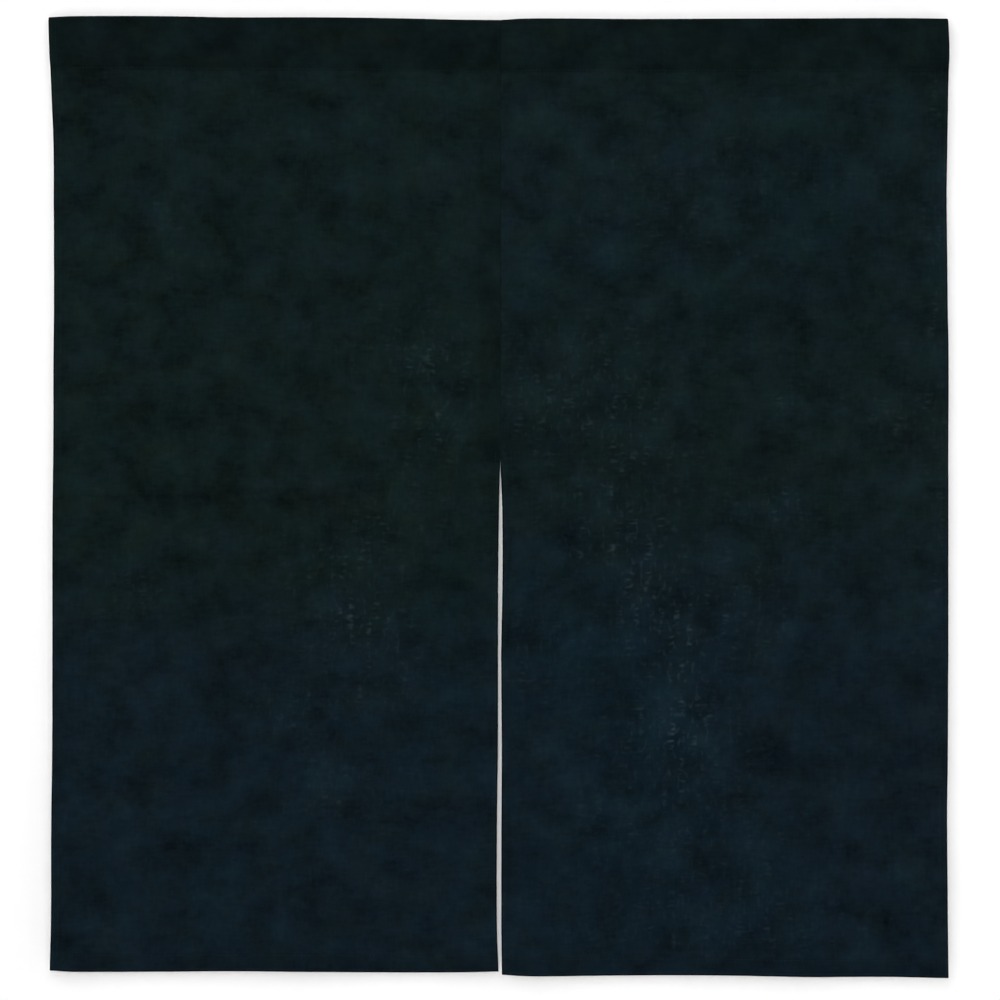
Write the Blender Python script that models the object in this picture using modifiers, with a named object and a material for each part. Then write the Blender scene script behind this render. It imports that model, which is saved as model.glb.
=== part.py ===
"""Noren curtain of two linen panels, in metres, +Z up, with its front facing -Y.

The panels are sewn together from the top edge down to the slit, and hang apart below it. Each is one
sheet of cloth whose top is turned over to the back, which leaves an open pocket for a pole. The origin
is on the top edge, where the two panels meet, at the middle of the pocket's depth.
"""

from collections import namedtuple
from math import cos, exp, pi, sin

import bmesh
import bpy

MM = 0.001

# Driving sizes
CLOTH = 1.2 * MM  # thickness of the sheet
TURNED_CLOTH = 1.9 * MM  # thickness where an edge is turned under
TURNING_STEP = 1.2 * MM  # width over which the one thickness falls to the other
BOTTOM_HEM = 17 * MM
PANEL_WIDTH = 424.5 * MM
DROP = 904 * MM  # from the top edge to the bottom hem, before the panels' own differences
SEAM_DROP = 414 * MM  # from the top edge to the end of the seam, where the slit starts
SEAM_X = 1 * MM  # where the seam stands, right of the middle
PIECE_GAP = 0.3 * MM  # between the panels along the seam

POCKET_DROP = 51 * MM  # from the top edge to the loose edge of the turned-over flap
POCKET_RADIUS = 6 * MM  # outside of the fold at the top edge
POCKET_CLOSING = 36 * MM  # drop at which the pocket's walls start to draw together
FLAP_CLEARANCE = 0.5 * MM  # between the turnings at the flap's loose edge
CLOSED_WALL = TURNED_CLOTH + FLAP_CLEARANCE / 2  # from the middle of the depth to an outer face there

# How many faces the mesh has along each stretch of the cloth
FLAP_ROWS = 6
FOLD_ROWS = 8
HANG_ROWS = 22
COLUMNS = 15

# Where the upright edges run, in mm: the drop below the top edge, each side edge's distance from the
# middle, and how far the slit's two lips have drawn back from the seam.
Upright = namedtuple("Upright", "drop left_side left_lip right_lip right_side")
UPRIGHTS = (
    Upright(0, -426.6, 0.0, 0.0, 424.4),
    Upright(30, -425.8, 0.0, 0.0, 425.6),
    Upright(70, -424.1, 0.0, 0.0, 424.9),
    Upright(125, -422.1, 0.0, 0.0, 423.9),
    Upright(180, -421.9, 0.0, 0.0, 423.4),
    Upright(265, -421.6, 0.0, 0.0, 424.3),
    Upright(320, -422.0, 0.0, 0.0, 425.2),
    Upright(414, -422.3, 0.0, 0.0, 424.9),
    Upright(440, -422.6, 1.0, 0.9, 424.9),
    Upright(464, -422.9, 1.4, 1.8, 424.9),
    Upright(530, -423.1, 2.2, 2.0, 424.9),
    Upright(600, -423.1, 2.4, 0.8, 424.8),
    Upright(690, -423.2, 2.5, 1.3, 424.3),
    Upright(762, -424.0, 3.3, 1.0, 423.6),
    Upright(860, -424.3, 3.4, 0.9, 424.4),
    Upright(904, -425.4, 1.8, 1.4, 424.9),
)

# Where the level edges run, in mm: the share of the panel's width from its left edge, how high its top
# edge stands above the origin there, and how much further than the drop its bottom hem hangs.
Level = namedtuple("Level", "share top hang")
LEFT_LEVELS = (
    Level(0.00, 2.6, -4.3),
    Level(0.06, 3.7, -2.9),
    Level(0.25, 3.7, -2.7),
    Level(0.40, 2.6, -3.3),
    Level(0.60, 2.6, -2.8),
    Level(0.78, 1.6, -2.0),
    Level(0.90, 0.4, -2.2),
    Level(1.00, 0.0, -3.2),
)
RIGHT_LEVELS = (
    Level(0.00, 0.0, -0.2),
    Level(0.05, 1.3, 1.0),
    Level(0.14, 1.5, 1.2),
    Level(0.30, 1.0, 0.8),
    Level(0.50, 1.3, 0.7),
    Level(0.70, 1.6, 2.1),
    Level(0.90, 1.8, 2.3),
    Level(1.00, 1.3, 2.9),
)

# Soft upright swells that grow from the pocket down to the hem, in mm: the distance of each from the
# curtain's middle, its spread to either side, and how far it stands forward at the hem.
Swell = namedtuple("Swell", "centre spread forward")
SWELLS = (
    Swell(-425, 34, 2.6),
    Swell(-318, 62, -1.6),
    Swell(-196, 54, 2.2),
    Swell(-84, 48, -1.4),
    Swell(-12, 30, 1.7),
    Swell(36, 30, 2.4),
    Swell(142, 58, -1.7),
    Swell(262, 60, 1.9),
    Swell(352, 44, -1.2),
    Swell(425, 30, 2.8),
)
SWELL_GROWTH = 1.3

# How much cloth is turned under, in mm: at the panel's left edge and at its right edge, from this drop
# down to the next row's. The seam's turnings are all pressed behind the left panel.
Turning = namedtuple("Turning", "drop left right")
LEFT_TURNINGS = (Turning(0, 8, 20), Turning(414, 8, 6))
RIGHT_TURNINGS = (Turning(0, 6, 8),)

Panel = namedtuple("Panel", "name left right levels turnings color roughness")
PANELS = (
    Panel("left_panel", "left_side", "left_lip", LEFT_LEVELS, LEFT_TURNINGS, (0.0055, 0.0112, 0.0131, 1), 0.92),
    Panel("right_panel", "right_lip", "right_side", RIGHT_LEVELS, RIGHT_TURNINGS, (0.0055, 0.0122, 0.0150, 1), 0.92),
)


def smooth_value(rows, key, at, column):
    """One column of a table, read off a smooth curve through its rows."""
    stops = [getattr(row, key) for row in rows]
    values = [getattr(row, column) for row in rows]
    last = len(rows) - 1
    at = min(max(at, stops[0]), stops[last])
    i = max(n for n in range(last) if stops[n] <= at)
    step = stops[i + 1] - stops[i]

    def rise_at(n):
        low, high = max(n - 1, 0), min(n + 1, last)
        return step * (values[high] - values[low]) / (stops[high] - stops[low])

    t = (at - stops[i]) / step
    rise, start, end = values[i + 1] - values[i], rise_at(i), rise_at(i + 1)
    return values[i] + t * (start + t * (3 * rise - 2 * start - end + t * (start + end - 2 * rise)))


def edge_x(name, drop):
    """Where an upright edge stands at this drop."""
    value = smooth_value(UPRIGHTS, "drop", drop / MM, name) * MM
    if name == "left_lip":
        return SEAM_X - PIECE_GAP / 2 - max(0, value)
    if name == "right_lip":
        return SEAM_X + PIECE_GAP / 2 + max(0, value)
    return value


def swell(x, drop):
    """How far the swells bring the cloth forward."""
    growth = max(0, (drop - POCKET_DROP) / (DROP - POCKET_DROP)) ** SWELL_GROWTH
    return growth * sum(s.forward * MM * exp(-(((x / MM - s.centre) / s.spread) ** 2)) for s in SWELLS)


def wall(drop):
    """From the middle of the pocket's depth to its outer face, from the fold down."""
    closed = min(max((drop - POCKET_CLOSING) / (POCKET_DROP - POCKET_CLOSING), 0), 1)
    return CLOSED_WALL + (POCKET_RADIUS - CLOSED_WALL) * (1 + cos(pi * closed)) / 2


def stops_between(start, end, changes, count):
    """About count even steps from start to end, with a narrow one at each place where the cloth changes."""
    stops = [start]
    for place in (*sorted(changes), end):
        steps = max(1, round(count * (place - stops[-1]) / (end - start)))
        first = stops[-1]
        stops += [first + (place - first) * n / steps for n in range(1, steps + 1)]
        if place != end:
            stops.append(place + TURNING_STEP)
    return stops


def section():
    """The cloth's (depth, drop) rows, from the flap's loose edge, over the fold and down to the hem."""
    drops = [POCKET_RADIUS + (POCKET_DROP - POCKET_RADIUS) * n / FLAP_ROWS for n in range(1, FLAP_ROWS + 1)]
    angles = [pi * n / FOLD_ROWS for n in range(FOLD_ROWS + 1)]
    hem_starts = DROP - BOTTOM_HEM - TURNING_STEP
    hang = stops_between(POCKET_DROP, DROP, (SEAM_DROP - TURNING_STEP, hem_starts), HANG_ROWS)
    return (
        [(wall(drop), drop) for drop in reversed(drops)]
        + [(POCKET_RADIUS * cos(angle), POCKET_RADIUS * (1 - sin(angle))) for angle in angles]
        + [(-wall(drop), drop) for drop in drops]
        + [(-CLOSED_WALL, drop) for drop in hang[1:]]
    )


def columns(panel):
    """The distances from the panel's left edge at which the mesh has an upright line."""
    left = {row.left * MM for row in panel.turnings if row.left}
    right = {PANEL_WIDTH - row.right * MM - TURNING_STEP for row in panel.turnings if row.right}
    return stops_between(0, PANEL_WIDTH, left | right, COLUMNS)


def is_turned(panel, across, drop):
    """Whether the cloth is turned under at this distance from the panel's left edge and this drop."""
    row = [row for row in panel.turnings if row.drop * MM <= drop + PIECE_GAP][-1]
    from_left = across <= row.left * MM + PIECE_GAP and row.left > 0
    from_right = PANEL_WIDTH - across <= row.right * MM + PIECE_GAP and row.right > 0
    return from_left or from_right or drop >= DROP - BOTTOM_HEM - PIECE_GAP


def place(panel, across, depth, drop):
    """The point of the cloth's outer face at this distance across and this row of the section."""
    share = across / PANEL_WIDTH
    left, right = edge_x(panel.left, drop), edge_x(panel.right, drop)
    x = left + (right - left) * share
    top = smooth_value(panel.levels, "share", share, "top") * MM
    hang = smooth_value(panel.levels, "share", share, "hang") * MM
    z = top - drop - (top + hang) * drop / DROP
    y = depth - (swell(x, drop) if depth < 0 else 0)
    return x, y, z


def cloth_material(panel):
    material = bpy.data.materials.new(panel.name + "_linen")
    material.use_nodes = True
    shader = material.node_tree.nodes["Principled BSDF"]
    shader.inputs["Base Color"].default_value = panel.color
    shader.inputs["Roughness"].default_value = panel.roughness
    shader.inputs["Metallic"].default_value = 0
    return material


def make_panel(panel, collection, top_edge):
    """One panel: a grid laid over its section, thickened towards the back and doubled where it is turned."""
    rows, across = section(), columns(panel)
    sheet = bmesh.new()
    bmesh.ops.create_grid(sheet, x_segments=len(across) - 1, y_segments=len(rows) - 1, size=0.5)
    turned = []
    for vertex in sheet.verts:
        column = round((vertex.co.x + 0.5) * (len(across) - 1))
        row = round((0.5 - vertex.co.y) * (len(rows) - 1))
        depth, drop = rows[row]
        turned.append(is_turned(panel, across[column], drop))
        vertex.co = place(panel, across[column], depth, drop)
    sheet.normal_update()
    mesh = bpy.data.meshes.new(panel.name)
    sheet.to_mesh(mesh)
    sheet.free()

    cloth = bpy.data.objects.new(panel.name, mesh)
    collection.objects.link(cloth)
    cloth.parent = top_edge
    mesh.materials.append(cloth_material(panel))
    mesh.shade_smooth()
    group = cloth.vertex_groups.new(name="turned_under")
    group.add([i for i, is_in in enumerate(turned) if is_in], 1, "REPLACE")
    thickness = cloth.modifiers.new("thickness", "SOLIDIFY")
    thickness.thickness = TURNED_CLOTH
    thickness.offset = -1
    thickness.vertex_group = group.name
    thickness.thickness_vertex_group = CLOTH / TURNED_CLOTH


def main():
    for thing in list(bpy.data.objects):
        bpy.data.objects.remove(thing, do_unlink=True)
    collection = bpy.data.collections.new("noren_curtain")
    bpy.context.scene.collection.children.link(collection)
    top_edge = bpy.data.objects.new("top_edge", None)
    collection.objects.link(top_edge)
    for panel in PANELS:
        make_panel(panel, collection, top_edge)


main()
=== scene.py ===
"""The looks of the noren curtain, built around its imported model.

Metres, +Z up, and the front faces -Y. Each panel is one sheet of linen. It runs from the loose edge of
the flap behind, up the back of the pole pocket, over the fold at the top, down the front and round the
bottom hem. Its side edges are turned behind.
"""

from collections import namedtuple
from math import cos, pi, radians, sin

import bmesh
import bpy
import numpy as np
from mathutils import Matrix, Vector


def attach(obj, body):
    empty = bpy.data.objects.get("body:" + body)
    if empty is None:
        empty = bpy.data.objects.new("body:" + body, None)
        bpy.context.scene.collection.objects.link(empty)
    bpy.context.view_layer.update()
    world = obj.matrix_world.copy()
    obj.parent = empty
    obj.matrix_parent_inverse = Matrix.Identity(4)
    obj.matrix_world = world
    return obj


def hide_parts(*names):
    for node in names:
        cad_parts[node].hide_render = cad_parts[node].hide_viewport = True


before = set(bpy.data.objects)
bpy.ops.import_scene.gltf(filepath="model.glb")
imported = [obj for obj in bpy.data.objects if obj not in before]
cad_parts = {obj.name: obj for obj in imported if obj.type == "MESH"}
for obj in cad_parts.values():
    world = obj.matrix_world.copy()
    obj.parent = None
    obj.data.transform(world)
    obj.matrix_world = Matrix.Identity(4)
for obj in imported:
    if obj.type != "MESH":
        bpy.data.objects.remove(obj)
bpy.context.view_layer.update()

MM = 0.001

# Sizes of the cloth
CLOTH = 0.4 * MM  # thickness of one layer
LAYER = 0.5 * MM  # from the middle of one layer to the middle of the next, where they are pressed together
PANEL_WIDTH = 424.5 * MM
DROP = 904 * MM  # from the top edge to the bottom hem, before the panels' own differences
SEAM_DROP = 414 * MM  # from the top edge to the end of the seam, where the slit starts
SEAM_X = 1 * MM
SEAM_PRESS = 0.04 * MM  # how far the two seamed edges are pressed into each other
CLOSED_WALL = 2.15 * MM  # how far in front of the middle the hanging cloth's face is
POCKET_DROP = 51 * MM
POCKET_RADIUS = 6 * MM
POCKET_CLOSING = 36 * MM  # drop at which the pocket's front starts to draw in
FLAP_CLOSING = 20 * MM  # drop at which the flap starts to draw in
BOTTOM_HEM = 17 * MM

# Stitching
POCKET_STITCH = 49 * MM  # drop of the row of stitches that closes the pocket
BOTTOM_STITCH = 15.5 * MM  # height of the hem's stitches over the bottom edge
SIDE_STITCH = 1.5 * MM  # how far a side hem's stitches are from its turned edge
STITCH_PITCH = 3.4 * MM
STITCH_LENGTH = 2.5 * MM
THREAD = 0.36 * MM
THREAD_PROUD = 0.06 * MM  # how far a stitch's middle stands off the cloth
STITCH_DIP = 0.16 * MM  # how far a row of stitches pulls the cloth in
DIP_SPREAD = 1.1 * MM

# How finely the cloth is divided
COLUMN_STEP = 4.2 * MM
BODY_ROWS = 194  # between the pocket and the bottom hem

# Where the upright edges run, in mm: the drop below the top edge, each side edge's distance from the
# middle, and how far the slit's two lips have drawn back from the seam.
Upright = namedtuple("Upright", "drop left_side left_lip right_lip right_side")
UPRIGHTS = (
    Upright(0, -426.6, 0.0, 0.0, 424.4),
    Upright(30, -425.8, 0.0, 0.0, 425.6),
    Upright(70, -424.1, 0.0, 0.0, 424.9),
    Upright(125, -422.1, 0.0, 0.0, 423.9),
    Upright(180, -421.9, 0.0, 0.0, 423.4),
    Upright(265, -421.6, 0.0, 0.0, 424.3),
    Upright(320, -422.0, 0.0, 0.0, 425.2),
    Upright(414, -422.3, 0.0, 0.0, 424.9),
    Upright(440, -422.6, 1.0, 0.9, 424.9),
    Upright(464, -422.9, 1.4, 1.8, 424.9),
    Upright(530, -423.1, 2.2, 2.0, 424.9),
    Upright(600, -423.1, 2.4, 0.8, 424.8),
    Upright(690, -423.2, 2.5, 1.3, 424.3),
    Upright(762, -424.0, 3.3, 1.0, 423.6),
    Upright(860, -424.3, 3.4, 0.9, 424.4),
    Upright(904, -425.4, 1.8, 1.4, 424.9),
)

# Where the level edges run, in mm: the share of the panel's width from its left edge, how high its top
# edge stands above the origin there, and how much further than the drop its bottom hem hangs.
Level = namedtuple("Level", "share top hang")
LEFT_LEVELS = (
    Level(0.00, 2.6, -4.3),
    Level(0.06, 3.7, -2.9),
    Level(0.25, 3.7, -2.7),
    Level(0.40, 2.6, -3.3),
    Level(0.60, 2.6, -2.8),
    Level(0.78, 1.6, -2.0),
    Level(0.90, 0.4, -2.2),
    Level(1.00, 0.0, -3.2),
)
RIGHT_LEVELS = (
    Level(0.00, 0.0, -0.2),
    Level(0.05, 1.3, 1.0),
    Level(0.14, 1.5, 1.2),
    Level(0.30, 1.0, 0.8),
    Level(0.50, 1.3, 0.7),
    Level(0.70, 1.6, 2.1),
    Level(0.90, 1.8, 2.3),
    Level(1.00, 1.3, 2.9),
)

# Soft upright swells that grow from the pocket down to the hem, in mm: the distance of each from the
# curtain's middle, its spread to either side, and how far it stands forward at the hem.
Swell = namedtuple("Swell", "centre spread forward")
SWELLS = (
    Swell(-425, 34, 2.6),
    Swell(-318, 62, -1.6),
    Swell(-196, 54, 2.2),
    Swell(-84, 48, -1.4),
    Swell(-12, 30, 1.7),
    Swell(36, 30, 2.4),
    Swell(142, 58, -1.7),
    Swell(262, 60, 1.9),
    Swell(352, 44, -1.2),
    Swell(425, 30, 2.8),
)
SWELL_GROWTH = 1.3

# Small random unevenness
RUMPLES = 36
RUMPLE_LENGTHS = (22, 120)  # mm
RUMPLE_HEIGHT = 0.0014  # as a share of its length

# Soft creases, in mm: each runs from one point to another, spreads this far to either side, and stands
# this far forward. A trough's is negative.
Crease = namedtuple("Crease", "x0 drop0 x1 drop1 spread forward")
CREASES = (
    Crease(-20, 108, -125, 155, 12, 0.5),
    Crease(-125, 155, -180, 215, 13, 0.5),
    Crease(-180, 215, -250, 262, 12, 0.4),
    Crease(-415, 452, -95, 457, 11, -0.5),
    Crease(-95, 457, 60, 470, 14, -0.25),
    Crease(60, 492, 110, 497, 9, -0.4),
    Crease(-268, 560, -262, 690, 10, -0.4),
    Crease(-120, 520, -180, 610, 14, 0.45),
    Crease(-90, 560, -215, 660, 12, 0.35),
    Crease(-130, 700, -200, 755, 16, 0.4),
    Crease(15, 85, 110, 145, 15, 0.45),
    Crease(140, 132, 200, 96, 9, 0.4),
    Crease(212, 128, 204, 190, 8, 0.45),
    Crease(205, 110, 300, 84, 10, 0.35),
    Crease(100, 215, 165, 330, 12, 0.4),
    Crease(28, 365, 80, 308, 12, 0.45),
    Crease(130, 545, 185, 690, 10, 0.5),
    Crease(205, 500, 282, 610, 14, 0.45),
    Crease(70, 765, 140, 715, 12, 0.45),
    Crease(245, 640, 275, 730, 22, -0.5),
    Crease(300, 468, 330, 480, 12, -0.4),
)

# How much cloth is turned behind, in mm: at the panel's left edge and at its right edge, from this drop
# down to the next row's. The seam's turnings are all pressed behind the left panel.
Turning = namedtuple("Turning", "drop left right")
LEFT_TURNINGS = (Turning(0, 8, 20), Turning(408, 8, 20), Turning(420, 8, 6), Turning(904, 8, 6))
RIGHT_TURNINGS = (Turning(0, 6, 8), Turning(904, 6, 8))

# Lighter and darker patches, in mm: uneven dye, with painted highlights along the creases' ridges and painted
# shade in
#  their troughs. Where each is, its half sizes, its tilt in degrees, and by what share it lightens the cloth.
Patch = namedtuple("Patch", "x drop wide long tilt amount")
DYE_AND_CREASE_LIGHT_PATCHES = (
    Patch(-321, 192, 9, 14, 8, 0.22),
    Patch(-30, 112, 22, 12, 25, 0.10),
    Patch(-75, 140, 45, 12, 22, 0.12),
    Patch(-128, 158, 22, 14, 20, 0.12),
    Patch(-178, 208, 11, 20, -30, 0.12),
    Patch(-236, 252, 22, 9, 35, 0.10),
    Patch(-84, 312, 24, 14, 20, 0.16),
    Patch(-50, 275, 14, 20, -30, 0.09),
    Patch(-56, 365, 11, 10, 0, 0.13),
    Patch(-40, 408, 8, 16, -25, 0.12),
    Patch(-100, 455, 18, 14, 0, 0.10),
    Patch(-128, 528, 30, 14, 25, 0.14),
    Patch(-165, 560, 12, 24, 15, 0.12),
    Patch(-104, 573, 12, 12, 0, 0.14),
    Patch(-141, 606, 14, 10, 30, 0.12),
    Patch(-198, 652, 18, 9, 15, 0.14),
    Patch(-150, 728, 28, 22, 10, 0.13),
    Patch(-186, 750, 14, 12, 0, 0.10),
    Patch(-80, 710, 14, 12, 0, 0.13),
    Patch(-350, 548, 26, 16, -15, 0.11),
    Patch(-262, 592, 10, 26, 20, 0.09),
    Patch(-378, 634, 26, 14, 0, 0.08),
    Patch(-320, 655, 40, 14, 0, 0.07),
    Patch(-360, 785, 18, 12, -15, 0.07),
    Patch(-260, 800, 10, 16, 0, 0.07),
    Patch(-322, 862, 22, 14, 0, 0.09),
    Patch(-38, 876, 22, 10, 0, 0.10),
    Patch(-270, 455, 150, 11, 0, -0.10),
    Patch(-160, 454, 30, 12, 0, -0.10),
    Patch(-262, 545, 30, 16, 0, -0.08),
    Patch(-262, 655, 16, 30, 0, -0.10),
    Patch(-380, 58, 32, 22, 15, -0.14),
    Patch(-330, 70, 60, 16, 0, -0.05),
    Patch(-250, 225, 26, 20, 0, -0.06),
    Patch(-330, 375, 60, 40, 0, -0.04),
    Patch(-150, 845, 60, 20, 0, -0.05),
    Patch(38, 96, 24, 16, 20, 0.16),
    Patch(80, 125, 40, 12, -30, 0.12),
    Patch(105, 143, 22, 12, 0, 0.12),
    Patch(150, 128, 20, 11, 20, 0.14),
    Patch(190, 100, 12, 16, -40, 0.12),
    Patch(280, 92, 34, 11, 18, 0.13),
    Patch(207, 172, 8, 28, 8, 0.15),
    Patch(342, 160, 30, 12, 0, 0.13),
    Patch(380, 112, 18, 16, 0, 0.09),
    Patch(107, 222, 16, 14, 0, 0.20),
    Patch(40, 225, 22, 24, 0, 0.07),
    Patch(138, 278, 14, 28, -40, 0.13),
    Patch(72, 318, 13, 20, 20, 0.18),
    Patch(30, 360, 16, 15, 15, 0.24),
    Patch(268, 365, 12, 11, 30, 0.20),
    Patch(368, 370, 24, 16, 25, 0.13),
    Patch(145, 395, 30, 24, 0, 0.07),
    Patch(46, 446, 18, 9, 0, 0.16),
    Patch(102, 466, 18, 16, 0, 0.20),
    Patch(268, 456, 24, 9, 0, 0.13),
    Patch(209, 498, 12, 16, -25, 0.13),
    Patch(232, 548, 12, 30, -20, 0.17),
    Patch(270, 588, 12, 26, -25, 0.15),
    Patch(138, 549, 14, 16, 0, 0.22),
    Patch(172, 600, 9, 32, -15, 0.18),
    Patch(162, 657, 14, 22, -10, 0.26),
    Patch(186, 682, 14, 10, 0, 0.18),
    Patch(335, 592, 12, 12, 0, 0.09),
    Patch(43, 683, 13, 13, 0, 0.16),
    Patch(25, 605, 14, 12, 0, 0.10),
    Patch(105, 735, 10, 34, 48, 0.15),
    Patch(75, 725, 10, 26, 40, 0.10),
    Patch(152, 786, 30, 18, 20, 0.08),
    Patch(247, 800, 14, 40, 10, 0.10),
    Patch(140, 850, 30, 12, 0, 0.06),
    Patch(45, 885, 40, 8, 0, 0.08),
    Patch(340, 885, 30, 8, 0, 0.08),
    Patch(72, 493, 30, 8, -10, -0.14),
    Patch(262, 690, 26, 26, 0, -0.12),
    Patch(60, 412, 40, 14, 0, -0.07),
    Patch(312, 474, 22, 9, 0, -0.10),
    Patch(262, 280, 30, 22, 0, -0.08),
    Patch(195, 568, 10, 14, 0, -0.12),
    Patch(345, 830, 40, 30, 0, -0.04),
    Patch(420, 66, 7, 10, 0, 0.22),
    Patch(420, 134, 7, 26, 0, 0.22),
    Patch(421, 200, 6, 34, 0, 0.15),
    Patch(420, 267, 7, 12, 0, 0.15),
    Patch(412, 318, 10, 20, 0, 0.12),
    Patch(395, 440, 16, 30, 0, 0.09),
    Patch(418, 500, 10, 30, 0, 0.15),
    Patch(412, 560, 12, 24, 0, 0.26),
    Patch(420, 850, 8, 20, 0, 0.12),
)

# Patches where the weave is slack, in mm, with how thickly; the light showing through it is painted into the
# cloth's colour.
SLACK_PATCHES = (
    Patch(-75, 312, 44, 40, 0, 0.8),
    Patch(-58, 380, 30, 46, 0, 0.7),
    Patch(-108, 470, 44, 40, 0, 0.5),
    Patch(-150, 540, 46, 44, 0, 0.9),
    Patch(-120, 590, 40, 30, 0, 0.7),
    Patch(-198, 655, 36, 26, 0, 0.8),
    Patch(-345, 545, 34, 26, 0, 0.5),
    Patch(-110, 640, 40, 30, 0, 0.5),
    Patch(-150, 730, 50, 40, 0, 0.4),
    Patch(-322, 200, 14, 20, 0, 0.6),
    Patch(90, 330, 60, 50, 0, 0.7),
    Patch(40, 370, 34, 34, 0, 0.6),
    Patch(120, 400, 60, 50, 0, 0.7),
    Patch(100, 480, 60, 40, 0, 0.9),
    Patch(140, 555, 34, 50, 0, 1.4),
    Patch(176, 620, 24, 50, 0, 1.5),
    Patch(160, 680, 50, 36, 0, 1.2),
    Patch(40, 600, 40, 40, 0, 0.6),
    Patch(230, 560, 50, 50, 0, 0.7),
    Patch(260, 460, 40, 20, 0, 0.8),
    Patch(268, 365, 16, 14, 0, 0.8),
    Patch(362, 376, 40, 26, 0, 0.7),
    Patch(180, 760, 110, 60, 0, 0.5),
    Patch(220, 850, 120, 36, 0, 0.5),
    Patch(190, 170, 150, 70, 0, 0.3),
    Patch(414, 300, 12, 300, 0, 0.6),
)

# How blue the dye is, from the green-black above to the blue-black below, in mm and as shares. The
# change comes higher up at the outer edges and later towards the middle of the left panel.
Hue = namedtuple("Hue", "drop left right")
HUES = (
    Hue(0, 0.0, 0.05),
    Hue(60, 0.02, 0.12),
    Hue(130, 0.10, 0.42),
    Hue(220, 0.02, 0.40),
    Hue(330, 0.0, 0.22),
    Hue(430, -0.05, 0.20),
    Hue(500, 0.0, 0.52),
    Hue(560, 0.42, 0.80),
    Hue(620, 0.82, 0.98),
    Hue(760, 1.0, 1.05),
    Hue(904, 1.0, 1.15),
)

# Patches of another hue, in mm: positive ones lean to cyan, and negative ones to a reddish black.
HUE_PATCHES = (
    Patch(-160, 455, 36, 14, 0, -1.2),
    Patch(-258, 457, 26, 10, 0, -0.9),
    Patch(-378, 50, 32, 26, 0, -1.2),
    Patch(-240, 40, 40, 14, 0, -0.8),
    Patch(-110, 26, 24, 16, 0, -0.7),
    Patch(-250, 360, 18, 14, 0, -0.7),
    Patch(-255, 600, 26, 20, 0, -0.6),
    Patch(-350, 730, 30, 14, 0, -0.6),
    Patch(-120, 820, 50, 30, 0, -0.5),
    Patch(-50, 560, 30, 60, 0, 0.8),
    Patch(-45, 650, 26, 30, 0, 0.7),
    Patch(-200, 650, 20, 14, 0, 0.8),
    Patch(-55, 215, 14, 30, 0, 0.6),
    Patch(-82, 310, 20, 20, 0, 0.5),
    Patch(-270, 815, 20, 20, 0, 0.7),
    Patch(107, 225, 24, 26, 0, 1.2),
    Patch(40, 250, 26, 40, 0, 0.7),
    Patch(285, 180, 50, 60, 0, 1.0),
    Patch(290, 95, 40, 14, 0, 0.9),
    Patch(205, 275, 30, 30, 0, 0.6),
    Patch(60, 330, 40, 16, 0, -0.7),
    Patch(150, 420, 70, 24, 0, -0.7),
    Patch(270, 420, 60, 26, 0, -0.6),
    Patch(400, 400, 26, 40, 0, -0.9),
    Patch(50, 560, 50, 60, 0, 0.9),
    Patch(110, 610, 60, 40, 0, 0.9),
    Patch(140, 680, 70, 40, 0, 0.8),
    Patch(255, 660, 30, 40, 0, -0.5),
    Patch(400, 700, 40, 100, 0, -0.7),
    Patch(120, 800, 90, 80, 0, 0.6),
    Patch(240, 830, 40, 50, 0, 0.5),
)

# The linen's colours
GREEN_BLACK = (0.0042, 0.0098, 0.0101)
BLUE_BLACK = (0.0041, 0.0097, 0.0142)
CYAN_LEAN = (-0.10, 0.05, 0.06)  # the share that each colour gains where the dye leans to cyan
PAINTED_SHOW_THROUGH = (0.016, 0.026, 0.028)  # light between slack threads
THREAD_DARK = (0.0050, 0.0098, 0.0115)
THREAD_LIGHT = (0.0085, 0.0160, 0.0185)

# From one thread of the weave to the next, in mm
WARP_PITCH = 0.8
WEFT_PITCH = 0.85

LEFT, RIGHT = 0, 1  # a panel's own side edges

# The two panels: the columns of UPRIGHTS that its edges follow, its level edges and turnings, which of
# its sides is at the slit, the node it replaces, its slot, and how far its weave is shifted.
Panel = namedtuple("Panel", "name left right levels turnings slit_side node slot shift")
PANELS = (
    Panel(
        "left", "left_side", "left_lip", LEFT_LEVELS, LEFT_TURNINGS,
        slit_side=RIGHT, node="left_panel", slot="left_linen", shift=0.0,
    ),
    Panel(
        "right", "right_lip", "right_side", RIGHT_LEVELS, RIGHT_TURNINGS,
        slit_side=LEFT, node="right_panel", slot="right_linen", shift=3.7,
    ),
)

# Camera, stage and lights
VIEW_WIDTH = 946.55 * MM
VIEW_CENTRE = Vector((0.57, -2, -454.6)) * MM
LENS = 135.0
WALL_Y = 9 * MM
WALL_WHITE = (0.99, 0.99, 0.99)
FLOOR_Z = -1.3
FLOOR_PALE = (0.85, 0.85, 0.84)
SURROUND = 20.0
SURROUND_GLOW = (0.93, 0.93, 0.93, 1)
STUDIO_GREY = (0.08, 0.08, 0.08, 1)

# Each light's direction from the middle of the curtain, its distance and size in metres, and its watts
Lamp = namedtuple("Lamp", "name direction distance size power")
LAMPS = (
    Lamp("key_light", (-0.26, -1, 0.56), 3.2, 3.8, 62),
    Lamp("fill_light", (-0.02, -1, 0.05), 4.5, 0.6, 72),
    Lamp("back_light", (0.5, 1, 0.4), 3.2, 2.5, 110),
    Lamp("side_light", (1, -0.1, 0.3), 3.2, 2.5, 40),
)


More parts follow.
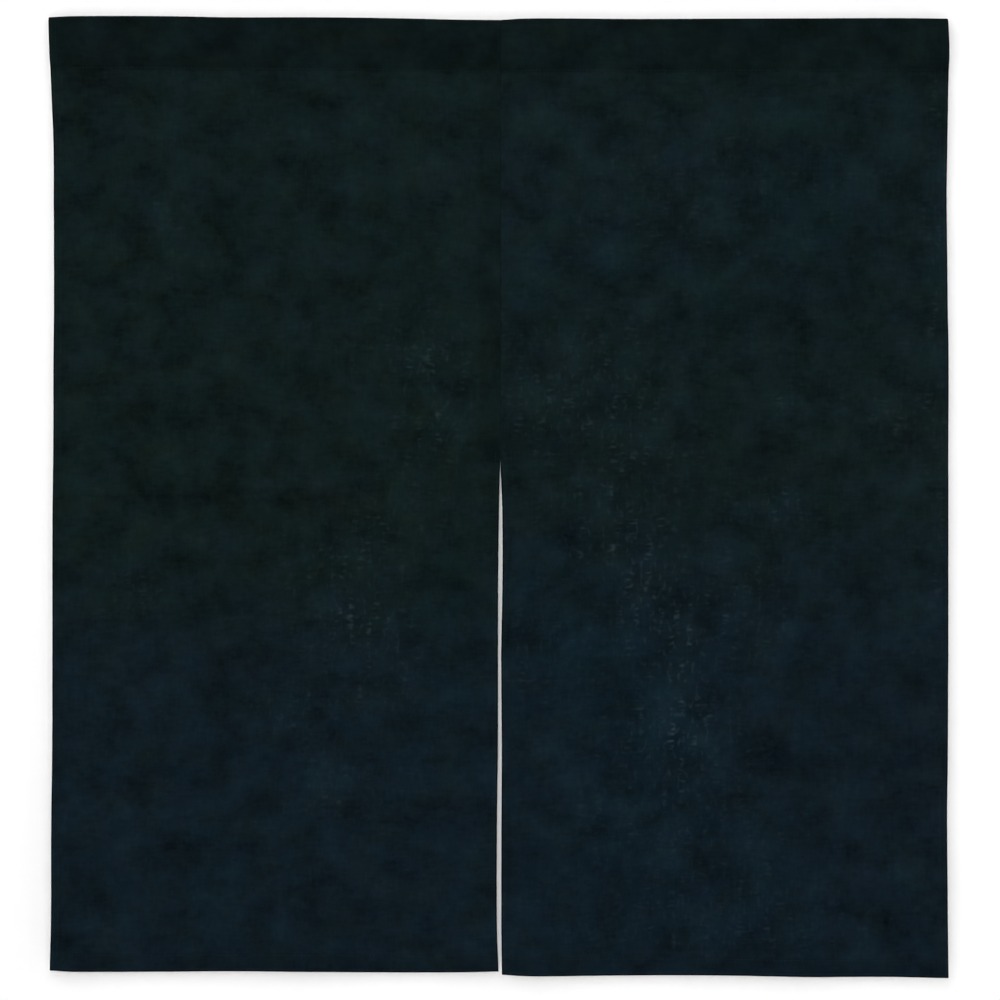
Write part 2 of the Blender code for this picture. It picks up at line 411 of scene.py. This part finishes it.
def smooth_value(rows, key, column, at):
    """One column of a table, read off a smooth curve through its rows."""
    stops = np.array([getattr(row, key) for row in rows], float)
    values = np.array([getattr(row, column) for row in rows], float)
    low = np.maximum(np.arange(len(rows)) - 1, 0)
    high = np.minimum(np.arange(len(rows)) + 1, len(rows) - 1)
    slopes = (values[high] - values[low]) / (stops[high] - stops[low])
    at = np.clip(at, stops[0], stops[-1])
    i = np.clip(np.searchsorted(stops, at, "right") - 1, 0, len(rows) - 2)
    step = stops[i + 1] - stops[i]
    t = (at - stops[i]) / step
    rise, start, end = values[i + 1] - values[i], step * slopes[i], step * slopes[i + 1]
    return values[i] + t * (start + t * (3 * rise - 2 * start - end + t * (start + end - 2 * rise)))


def eased(at, start, end):
    """0 before start and 1 after end, with a smooth change between them."""
    t = np.clip((at - start) / (end - start), 0, 1)
    return t * t * (3 - 2 * t)


def patches(table, x, drop):
    """The sum of a table's soft tilted patches at these points."""
    total = np.zeros(np.broadcast(x, drop).shape)
    for row in table:
        across, down = x / MM - row.x, drop / MM - row.drop
        tilt = radians(row.tilt)
        along = across * cos(tilt) - down * sin(tilt)
        beside = across * sin(tilt) + down * cos(tilt)
        total += row.amount * np.exp(-((along / row.wide) ** 2) - (beside / row.long) ** 2)
    return total


def rumples(x, drop):
    """The cloth's small random unevenness: many faint waves across each other."""
    chance = np.random.default_rng(11)
    total = np.zeros(np.broadcast(x, drop).shape)
    for _ in range(RUMPLES):
        length = chance.uniform(*RUMPLE_LENGTHS) * MM
        heading, start = chance.uniform(0, pi), chance.uniform(0, 2 * pi)
        along = x * cos(heading) + drop * sin(heading)
        total += RUMPLE_HEIGHT * length * np.sin(2 * pi * along / length + start)
    return total


def creases(x, drop):
    """How far the creases bring the cloth forward."""
    total = np.zeros(np.broadcast(x, drop).shape)
    for row in CREASES:
        start = np.array((row.x0, row.drop0)) * MM
        run = np.array((row.x1, row.drop1)) * MM - start
        length = np.hypot(*run)
        along = ((x - start[0]) * run[0] + (drop - start[1]) * run[1]) / length**2
        beside = ((x - start[0]) * run[1] - (drop - start[1]) * run[0]) / length
        past = np.maximum(np.abs(along - 0.5) - 0.5, 0) * length
        distance = np.hypot(beside, past * 0.6) / (row.spread * MM)
        total += row.forward * MM * np.exp(-(distance**2))
    return total


def swell(x, drop):
    """How far the swells bring the cloth forward."""
    growth = np.maximum(0, (drop - POCKET_DROP) / (DROP - POCKET_DROP)) ** SWELL_GROWTH
    forward = 0
    for row in SWELLS:
        forward = forward + row.forward * MM * np.exp(-(((x / MM - row.centre) / row.spread) ** 2))
    return growth * forward


def edge_x(panel, side, drop):
    """Where one of the panel's upright edges stands at this drop."""
    name = panel.right if side == RIGHT else panel.left
    value = smooth_value(UPRIGHTS, "drop", name, drop / MM) * MM
    if name == "left_lip":
        return SEAM_X + SEAM_PRESS - np.maximum(0, value)
    if name == "right_lip":
        return SEAM_X - SEAM_PRESS + np.maximum(0, value)
    return value


def turned_width(panel, side, drop):
    """How much cloth is turned behind at this edge and this drop."""
    stops = [row.drop * MM for row in panel.turnings]
    widths = [(row.right if side == RIGHT else row.left) * MM for row in panel.turnings]
    return np.interp(drop, stops, widths)


def from_sides(across):
    """Each side of a panel, with how far inward from it these points are."""
    return ((LEFT, across), (RIGHT, PANEL_WIDTH - across))


def bulk(panel, across, drop):
    """1 where a side edge is turned behind, and 0 away from it."""
    total = 0
    for side, inward in from_sides(across):
        total = total + (1 - eased(inward, 0, turned_width(panel, side, drop) + 4 * MM) ** 2)
    return total


def stitch_dip(panel, across, drop):
    """How far the rows of stitches pull the cloth in."""
    rows = [drop - POCKET_STITCH, drop - (DROP - BOTTOM_STITCH)]
    for side, inward in from_sides(across):
        away = inward - (turned_width(panel, side, drop) - SIDE_STITCH)
        rows.append(np.where((side == panel.slit_side) & (drop < SEAM_DROP), 1.0, away))
    return STITCH_DIP * sum(np.exp(-((row / DIP_SPREAD) ** 2)) for row in rows)


def rough_drop(part, at):
    """About how far below the top edge a place in the cloth's run is."""
    if part == "fold":
        return POCKET_RADIUS
    return DROP if part == "hem_fold" else at


def outer_face(part, at, bulky):
    """The y and drop of the cloth's outer face in one part of its run, and which way is inward there."""
    hem_radius = (LAYER + CLOTH) / 2 + bulky * LAYER
    if part == "flap":
        closed = -CLOSED_WALL + (1 + bulky) * 2 * LAYER
        return closed + (POCKET_RADIUS - closed) * (1 - eased(at, FLAP_CLOSING, POCKET_STITCH)), at, -1, 0
    if part == "fold":
        return POCKET_RADIUS * cos(at), POCKET_RADIUS * (1 - sin(at)), -cos(at), sin(at)
    if part == "front":
        shut = eased(at, POCKET_CLOSING, POCKET_DROP)
        return -CLOSED_WALL - (POCKET_RADIUS - CLOSED_WALL) * (1 - shut), at, 1, 0
    if part == "hem_fold":
        y = -CLOSED_WALL + hem_radius * (1 - cos(at))
        return y, DROP - hem_radius * (1 - sin(at)), cos(at), -sin(at)
    return -CLOSED_WALL + 2 * hem_radius, at, -1, 0


def place(panel, across, part, at, depth):
    """Points of the cloth, this far across from the panel's left edge and this deep behind its face."""
    bulky = bulk(panel, across, rough_drop(part, at))
    y, drop, inward_y, inward_drop = outer_face(part, at, bulky)
    share = across / PANEL_WIDTH
    left, right = edge_x(panel, LEFT, drop), edge_x(panel, RIGHT, drop)
    x = left + (right - left) * share
    forward = swell(x, drop) + (rumples(x, drop) + creases(x, drop)) * eased(drop, 0, 60 * MM)
    back_side = part in ("flap", "hem")
    dip = stitch_dip(panel, across, drop) * (-1 if back_side else 1)
    y = y + inward_y * depth - forward + dip
    drop = drop + inward_drop * depth
    top = smooth_value(panel.levels, "share", "top", share) * MM
    hang = smooth_value(panel.levels, "share", "hang", share) * MM
    return np.stack(np.broadcast_arrays(x, y, top - drop - (top + hang) * drop / DROP), -1)


Column = namedtuple("Column", "side turned inward layer")


def hem_columns(side, width):
    """A side hem's columns, from its cut edge behind, round the fold, to the far side of its stitches."""
    radius, centre = LAYER / 2, (LAYER + CLOTH) / 2
    behind = [Column(side, 1, 0, 0.9), Column(side, 1, -0.8 * MM, 1)]
    behind += [Column(side, share, 0, 1) for share in (0.7, 0.45, 0.2)]
    fold = []
    for step in range(5):
        angle = pi * step / 4
        fold.append(Column(side, 0, centre - radius * sin(angle), (1 + cos(angle)) / 2))
    line = width - SIDE_STITCH
    ahead = [1.0 * MM, 1.7 * MM, 2.6 * MM] + [line + away * MM for away in (-1.3, -0.6, 0, 0.6, 1.3)]
    return behind + fold + [Column(side, 0, inward, 0) for inward in ahead]


def columns(panel):
    """All the columns of the panel, from the cut edge at its left to the cut edge at its right."""
    widths = [float(turned_width(panel, side, DROP)) for side in (LEFT, RIGHT)]
    left, right = hem_columns(LEFT, widths[LEFT]), hem_columns(RIGHT, widths[RIGHT])[::-1]
    start, end = left[-1].inward, PANEL_WIDTH - right[0].inward
    count = round((end - start) / COLUMN_STEP)
    middle = [Column(LEFT, 0, start + (end - start) * n / count, 0) for n in range(1, count)]
    return left + middle + right


def rows():
    """The rows of the cloth, from the flap's cut edge, over the top and down the front to the hem's."""
    flap = [POCKET_DROP, 50.2 * MM, POCKET_STITCH, 47.8 * MM]
    flap += list(np.linspace(44 * MM, POCKET_RADIUS, 10))
    fold = [pi * n / 12 for n in range(1, 12)]
    front = list(np.linspace(POCKET_RADIUS, 44 * MM, 10))
    front += [47.4 * MM, 48.2 * MM, POCKET_STITCH, 49.8 * MM, 50.7 * MM, 51.6 * MM, 53 * MM]
    line = DROP - BOTTOM_STITCH
    front += list(np.linspace(56 * MM, DROP - 22 * MM, BODY_ROWS))
    front += [DROP - BOTTOM_HEM - 1.6 * MM, DROP - BOTTOM_HEM]
    front += [line - 0.6 * MM, line, line + 0.6 * MM, line + 1.4 * MM]
    front += [DROP - height * MM for height in (11, 8, 5.5, 3.6, 2.4, 1.6)]
    hem_fold = [pi * n / 6 for n in range(7)]
    hem = [DROP - height * MM for height in (1.6, 4, 8, 12)] + [line + 0.8 * MM, line, DROP - BOTTOM_HEM]
    return (
        [("flap", at) for at in flap]
        + [("fold", at) for at in fold]
        + [("front", at) for at in front]
        + [("hem_fold", at) for at in hem_fold]
        + [("hem", at) for at in hem]
    )


def edge_distance(panel, across, drop):
    """How far a point is from the panel's outline, which leaves out the seam."""
    sides = [across, PANEL_WIDTH - across]
    sides[panel.slit_side] = np.hypot(sides[panel.slit_side], np.maximum(SEAM_DROP + 8 * MM - drop, 0))
    return np.minimum(np.minimum(*sides), np.minimum(drop, DROP - drop))


def cloth_values(panel, x, across, drop):
    """What the dye, the painted light and shade, and the layers are like at each point, by name."""
    doubled = 1 - eased(drop, POCKET_DROP - 1.5 * MM, POCKET_DROP + 1.5 * MM)
    doubled = np.maximum(doubled, 0.35 * eased(drop, DROP - BOTTOM_HEM - MM, DROP - BOTTOM_HEM + MM))
    for side, inward in from_sides(across):
        width = turned_width(panel, side, drop)
        if side == panel.slit_side:
            share = np.where(drop < SEAM_DROP, 0.6 if side == RIGHT else 0.0, 0.2)
        else:
            share = 0.1
        doubled = np.maximum(doubled, share * (1 - eased(inward, width - 2 * MM, width + 3 * MM)))
    return {
        "dye_and_crease_light": patches(DYE_AND_CREASE_LIGHT_PATCHES, x, drop),
        "slackness": patches(SLACK_PATCHES, x, drop),
        "blueness": smooth_value(HUES, "drop", panel.name, drop / MM),
        "cyan_lean": patches(HUE_PATCHES, x, drop),
        "doubled": doubled,
        "edge": edge_distance(panel, across, drop) / MM,
    }


def make_cloth(panel, material):
    """One panel's sheet of linen: a grid laid along its run and thickened."""
    across_run, down_run = columns(panel), rows()
    sides = np.array([c.side for c in across_run])
    turned = np.array([c.turned for c in across_run])
    inward = np.array([c.inward for c in across_run])
    layer = np.array([c.layer for c in across_run])
    points, values = [], []
    for part, at in down_run:
        near_drop = rough_drop(part, at)
        left_width, right_width = (turned_width(panel, side, near_drop) for side in (LEFT, RIGHT))
        width = np.where(sides == RIGHT, right_width, left_width)
        from_edge = turned * width + inward
        across = np.where(sides == RIGHT, PANEL_WIDTH - from_edge, from_edge)
        spot = place(panel, across, part, at, CLOTH / 2 + layer * LAYER)
        points.append(spot)
        drop = outer_face(part, at, bulk(panel, across, near_drop))[1] + np.zeros(len(across))
        values.append(cloth_values(panel, spot[:, 0], across, np.clip(drop, 0, DROP)))
    points = np.array(points)
    step_across = np.hypot(np.diff(across), np.diff(layer) * LAYER)  # along the last row
    u = np.concatenate([[0], np.cumsum(step_across)])
    middle = points[:, len(across_run) // 2]
    v = np.concatenate([[0], np.cumsum(np.linalg.norm(np.diff(middle, axis=0), axis=1))])

    sheet = bmesh.new()
    bmesh.ops.create_grid(sheet, x_segments=len(across_run) - 1, y_segments=len(down_run) - 1, size=0.5)
    uv = sheet.loops.layers.uv.new("cloth")
    spots = []
    for vertex in sheet.verts:
        column = round((vertex.co.x + 0.5) * (len(across_run) - 1))
        row = round((0.5 - vertex.co.y) * (len(down_run) - 1))
        spots.append((row, column))
        vertex.co = points[row, column]
    for face in sheet.faces:
        for loop in face.loops:
            row, column = spots[loop.vert.index]
            loop[uv].uv = (u[column], v[row])
    mesh = bpy.data.meshes.new(panel.name + "_cloth")
    sheet.to_mesh(mesh)
    sheet.free()
    at_rows, at_columns = np.array(spots).T
    for name in values[0]:
        table = np.array([value[name] for value in values])
        attribute = mesh.attributes.new(name, "FLOAT", "POINT")
        attribute.data.foreach_set("value", table[at_rows, at_columns].astype(np.float32))
    mesh.materials.append(material)
    mesh.shade_smooth()
    cloth = bpy.data.objects.new(panel.name + "_cloth", mesh)
    bpy.context.scene.collection.objects.link(cloth)
    thickness = cloth.modifiers.new("thickness", "SOLIDIFY")
    thickness.thickness = CLOTH
    thickness.offset = 0
    return cloth


def stitch_lines(panel):
    """Each row of stitches as (part of the run, start, end, fixed place, whether it runs down, layer)."""
    lines = [
        ("front", 2 * MM, PANEL_WIDTH - 1 * MM, POCKET_STITCH, False, 0),
        ("flap", 2 * MM, PANEL_WIDTH - 1 * MM, POCKET_STITCH, False, 0),
        ("front", 2 * MM, PANEL_WIDTH - 2 * MM, DROP - BOTTOM_STITCH, False, 0),
        ("hem", 2 * MM, PANEL_WIDTH - 2 * MM, DROP - BOTTOM_STITCH, False, 0),
    ]
    for side in (LEFT, RIGHT):
        inward = float(turned_width(panel, side, DROP)) - SIDE_STITCH
        across = PANEL_WIDTH - inward if side == RIGHT else inward
        top = SEAM_DROP - 4 * MM if side == panel.slit_side else 8 * MM
        lines.append(("front", top, DROP - 3 * MM, across, True, 0))
        lines.append(("front", max(top, POCKET_DROP + 4 * MM), DROP - BOTTOM_HEM - 3 * MM, across, True, 1))
    return lines


def make_stitching(panel, material):
    """All of one panel's machine stitches, as short plump threads."""
    mesh = bpy.data.meshes.new(panel.name + "_stitching")
    for part, start, end, fixed, down, layer in stitch_lines(panel):
        threads = bmesh.new()
        count = int((end - start) / STITCH_PITCH)
        begin = start + STITCH_PITCH * (np.arange(count) + 0.5)
        depth = CLOTH + LAYER if layer else 0
        ends = []
        for offset in (-STITCH_LENGTH / 2, STITCH_LENGTH / 2):
            if down:
                ends.append(np.array([place(panel, np.array(fixed), part, at, depth) for at in begin + offset]))
            else:
                ends.append(place(panel, begin + offset, part, fixed, depth))
        facing = 1 if layer or part in ("flap", "hem") else -1
        for first, second in zip(*ends):
            run = Vector(second - first)
            centre = Vector((first + second) / 2) + Vector((0, facing * THREAD_PROUD, 0))
            turn = run.to_track_quat("X", "Y").to_matrix().to_4x4()
            size = Matrix.Diagonal((run.length / 2, THREAD / 2, THREAD / 2, 1))
            matrix = Matrix.Translation(centre) @ turn @ size
            bmesh.ops.create_uvsphere(threads, u_segments=6, v_segments=4, radius=1, matrix=matrix)
        threads.from_mesh(mesh)
        threads.to_mesh(mesh)
        threads.free()
    mesh.materials.append(material)
    mesh.shade_smooth()
    stitching = bpy.data.objects.new(panel.name + "_stitching", mesh)
    bpy.context.scene.collection.objects.link(stitching)
    return stitching


class Value:
    """A number that varies over a surface. Python's operators join such numbers up with Math nodes."""

    def __init__(self, finish, socket):
        self.finish, self.socket = finish, socket

    def math(self, operation, *others):
        sockets = dict(enumerate((self, *others)))
        return self.finish.node("ShaderNodeMath", {"operation": operation}, sockets)

    def __add__(self, other):
        return self.math("ADD", other)

    def __sub__(self, other):
        return self.math("SUBTRACT", other)

    def __mul__(self, other):
        return self.math("MULTIPLY", other)

    def __rsub__(self, other):
        return self.finish.node("ShaderNodeMath", {"operation": "SUBTRACT"}, {0: other, 1: self})

    __radd__, __rmul__ = __add__, __mul__

    def rising(self, start, end):
        """0 below start and 1 above end, with a smooth change between them."""
        sockets = {"Value": self, "From Min": start, "From Max": end}
        return self.finish.node("ShaderNodeMapRange", {"interpolation_type": "SMOOTHSTEP"}, sockets)


class Finish:
    """A material that is being made."""

    def __init__(self, name):
        self.material = bpy.data.materials.new(name)
        self.material.use_nodes = True
        self.tree = self.material.node_tree
        self.surface = self.tree.nodes["Principled BSDF"]

    def node(self, kind, settings, sockets, output=0):
        """Adds a node with these settings, and these values or links in its sockets."""
        node = self.tree.nodes.new(kind)
        for name, value in settings.items():
            setattr(node, name, value)
        self.fill(node, sockets)
        return Value(self, node.outputs[output])

    def fill(self, node, sockets):
        for name, value in sockets.items():
            if isinstance(value, Value):
                self.tree.links.new(value.socket, node.inputs[name])
            else:
                node.inputs[name].default_value = value

    def attribute(self, name):
        return self.node("ShaderNodeAttribute", {"attribute_name": name}, {}, "Fac")

    def vector(self, operation, first, second):
        return self.node("ShaderNodeVectorMath", {"operation": operation}, {0: first, 1: second})

    def scaled(self, colour, factor):
        return self.node("ShaderNodeVectorMath", {"operation": "SCALE"}, {0: colour, "Scale": factor})

    def mixed(self, factor, first, second):
        """One colour turning into another."""
        sockets = {"Factor": factor, 6: first, 7: second}
        return self.node("ShaderNodeMix", {"data_type": "RGBA", "clamp_factor": False}, sockets, 2)

    def noise(self, flat_place, across, down, shift, detail=0.0, roughness=0.5):
        """A random mottle from -1 to 1 or so, whose spots are this wide and this long, in mm."""
        scaled = self.vector("MULTIPLY", flat_place, (1000 / across, 1000 / down, 0))
        moved = self.vector("ADD", scaled, (shift, shift * 1.7, 0))
        sockets = {"Vector": moved, "Scale": 1, "Detail": detail, "Roughness": roughness}
        return (self.node("ShaderNodeTexNoise", {"noise_dimensions": "2D"}, sockets) - 0.5) * 2


def linen(panel):
    """Dark indigo linen: uneven dye with painted light and shade on its creases, edges and doubled parts, slubs
    both ways, and slack spots whose show-through light is painted.
    """
    finish = Finish(panel.slot)
    unrolled = finish.node("ShaderNodeUVMap", {"uv_map": "cloth"}, {})
    unrolled = finish.vector("ADD", unrolled, (panel.shift, panel.shift * 0.6, 0))
    dye_and_crease_light, slackness = finish.attribute("dye_and_crease_light"), finish.attribute("slackness")
    doubled, edge = finish.attribute("doubled"), finish.attribute("edge")

    weft = finish.noise(unrolled, 13, 3.2, 1.3, 1.0, 0.6)
    warp = finish.noise(unrolled, 3.2, 12, 5.1, 1.0, 0.6)
    blotch = finish.noise(unrolled, 15, 13, 2.2, 2.0, 0.8)
    cloud = finish.noise(unrolled, 45, 38, 7.7, 1.0, 0.6)
    weft_gap = finish.noise(unrolled, 10, 3.4, 9.4).rising(-0.1, 0.7)
    warp_gap = finish.noise(unrolled, 8, 30, 3.9).rising(0.0, 0.7)
    spot = finish.noise(unrolled, 4.5, 8, 6.6).rising(0.2, 0.9)

    single = 1 - doubled
    slubs = (0.17 * weft + 0.15 * warp) * (1 - 0.4 * doubled)
    # Brightness of the dye, with the patch table's painted highlights on crease ridges and painted shade in
    # crease troughs
    light = 1 + 1.8 * dye_and_crease_light + 0.50 * cloud + 0.36 * blotch + slubs
    # Painted shade along the cut edges where the folded edge turns from the light, and just inside it a painted
    # highlight that is partly wear
    painted_edge_shade = 0.75 * (1 - edge.rising(0.6, 1.7))
    edge_highlight_and_wear = 0.3 * edge.rising(1.3, 2.0) * (1 - edge.rising(2.2, 3.4))
    # Painted shade where the cloth is doubled and less light shows through it
    light = light * (1 - 0.22 * doubled) * (1 - painted_edge_shade + edge_highlight_and_wear)
    # Painted light from the wall behind, showing through the slack weave where the cloth is single
    painted_show_through_mask = (slackness + 0.12) * single * (weft_gap * warp_gap + 0.5 * spot)
    painted_show_through_mask = painted_show_through_mask.math("MAXIMUM", 0.0)

    lean = finish.attribute("cyan_lean") + 0.9 * finish.noise(unrolled, 30, 26, 4.4, 1.0)
    blue = finish.attribute("blueness") + 0.55 * finish.noise(unrolled, 36, 30, 8.8, 1.0)
    dye = finish.mixed(blue, (*GREEN_BLACK, 1), (*BLUE_BLACK, 1))
    leaning = finish.vector("ADD", finish.scaled(CYAN_LEAN, lean), (1, 1, 1))
    dye = finish.scaled(finish.vector("MULTIPLY", dye, leaning), light)
    painted_show_through_colour = finish.scaled(PAINTED_SHOW_THROUGH, painted_show_through_mask * 0.5)
    colour = finish.vector("ADD", dye, painted_show_through_colour)

    # A plain weave whose threads swell and thin
    along = finish.node("ShaderNodeSeparateXYZ", {}, {0: unrolled}, 0)
    down = finish.node("ShaderNodeSeparateXYZ", {}, {0: unrolled}, 1)
    warp_wave = (along * (pi * 1000 / WARP_PITCH) + 0.5 * warp).math("SINE")
    weft_wave = (down * (pi * 1000 / WEFT_PITCH) + 0.5 * weft).math("SINE")
    height = 0.5 * (warp_wave * weft_wave) + 0.6 * weft + 0.6 * warp + 0.8 * blotch
    bump = finish.node("ShaderNodeBump", {}, {"Strength": 0.35, "Distance": 0.12 * MM, "Height": height})
    roughness = 0.93 - 0.05 * (weft + warp) - 0.1 * painted_show_through_mask
    finish.fill(finish.surface, {
        "Base Color": colour,
        "Roughness": roughness,
        "Normal": bump,
        "Specular IOR Level": 0.03,
    })
    return finish.material


def thread(panel):
    """The stitching's thread: the cloth's colour, a little lighter, with the twist's small ridges."""
    finish = Finish(panel.name + "_thread")
    position = finish.node("ShaderNodeTexCoord", {}, {}, "Object")
    mottle = finish.node("ShaderNodeTexNoise", {}, {"Vector": position, "Scale": 260, "Detail": 1})
    colour = finish.mixed(mottle, (*THREAD_DARK, 1), (*THREAD_LIGHT, 1))
    twist = finish.node("ShaderNodeTexNoise", {}, {"Vector": position, "Scale": 5200, "Detail": 0})
    bump = finish.node("ShaderNodeBump", {}, {"Strength": 0.4, "Distance": 0.05 * MM, "Height": twist})
    finish.fill(finish.surface, {
        "Base Color": colour,
        "Roughness": 0.7 + 0.2 * mottle,
        "Normal": bump,
        "Specular IOR Level": 0.15,
    })
    return finish.material


def plain(name, colour):
    """A matt finish of one colour, for the stage."""
    finish = Finish(name)
    finish.fill(finish.surface, {"Base Color": (*colour, 1), "Roughness": 1, "Specular IOR Level": 0})
    return finish


def stage_piece(name, shape, material):
    """Turns a shape into an object with this material, for the stage around the curtain."""
    mesh = bpy.data.meshes.new(name)
    shape.to_mesh(mesh)
    shape.free()
    mesh.materials.append(material)
    piece = bpy.data.objects.new(name, mesh)
    bpy.context.scene.collection.objects.link(piece)
    return piece


def make_plane(name, size, matrix, material):
    flat = bmesh.new()
    bmesh.ops.create_grid(flat, x_segments=1, y_segments=1, size=size / 2, matrix=matrix)
    return stage_piece(name, flat, material)


def make_wall():
    """A white wall just behind the curtain, which shows only from its front."""
    finish = plain("wall_white", WALL_WHITE)
    behind = finish.node("ShaderNodeNewGeometry", {}, {}, "Backfacing")
    clear = finish.node("ShaderNodeBsdfTransparent", {}, {})
    front = Value(finish, finish.surface.outputs[0])
    both = finish.node("ShaderNodeMixShader", {}, {0: behind, 1: front, 2: clear})
    finish.fill(finish.tree.nodes["Material Output"], {"Surface": both})
    upright = Matrix.Translation((0, WALL_Y, 0)) @ Matrix.Rotation(radians(90), 4, "X")
    wall = make_plane("wall", 8, upright, finish.material)
    wall.visible_shadow = wall.visible_diffuse = False


def make_surround():
    """A pale shell far around everything, which is seen but lights nothing."""
    finish = plain("surround_white", (0, 0, 0))
    finish.fill(finish.surface, {"Emission Color": SURROUND_GLOW, "Emission Strength": 1})
    shell = bmesh.new()
    bmesh.ops.create_uvsphere(shell, u_segments=32, v_segments=16, radius=SURROUND)
    bmesh.ops.reverse_faces(shell, faces=shell.faces)
    around = stage_piece("surround", shell, finish.material)
    around.visible_shadow = around.visible_diffuse = around.visible_glossy = False


def make_stage():
    """The wall, the surround and a pale floor below."""
    make_wall()
    make_surround()
    floor = Matrix.Translation((0, 0, FLOOR_Z))
    make_plane("floor", 12, floor, plain("floor_pale", FLOOR_PALE).material)


def make_light(name, direction, distance, size, power):
    """A square soft light that faces the curtain's middle from this direction."""
    lamp = bpy.data.lights.new(name, "AREA")
    lamp.shape = "SQUARE"
    lamp.size = size
    lamp.energy = power
    light = bpy.data.objects.new(name, lamp)
    bpy.context.scene.collection.objects.link(light)
    back = Vector(direction).normalized()
    light.location = VIEW_CENTRE + back * distance
    light.rotation_euler = back.to_track_quat("Z", "Y").to_euler()
    light.visible_camera = False


def make_camera():
    """A long lens square on to the curtain's front."""
    lens = bpy.data.cameras.new("camera")
    lens.lens = LENS
    lens.clip_end = 100
    camera = bpy.data.objects.new("camera", lens)
    bpy.context.scene.collection.objects.link(camera)
    away = VIEW_WIDTH * LENS / lens.sensor_width
    camera.location = VIEW_CENTRE + Vector((0, -away, 0))
    camera.rotation_euler = (radians(90), 0, 0)
    bpy.context.scene.camera = camera


def main():
    make_camera()
    for panel in PANELS:
        cloth = make_cloth(panel, linen(panel))
        stitching = make_stitching(panel, thread(panel))
        for piece in (cloth, stitching):
            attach(piece, "root")
        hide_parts(panel.node)
        side_turnings = sum(float(turned_width(panel, side, 0)) for side in (LEFT, RIGHT))
    make_stage()
    scene = bpy.context.scene
    scene.view_settings.view_transform = "Standard"
    scene.world = bpy.data.worlds.new("studio")
    scene.world.use_nodes = True
    scene.world.node_tree.nodes["Background"].inputs["Color"].default_value = STUDIO_GREY
    for lamp in LAMPS:
        make_light(*lamp)


main()
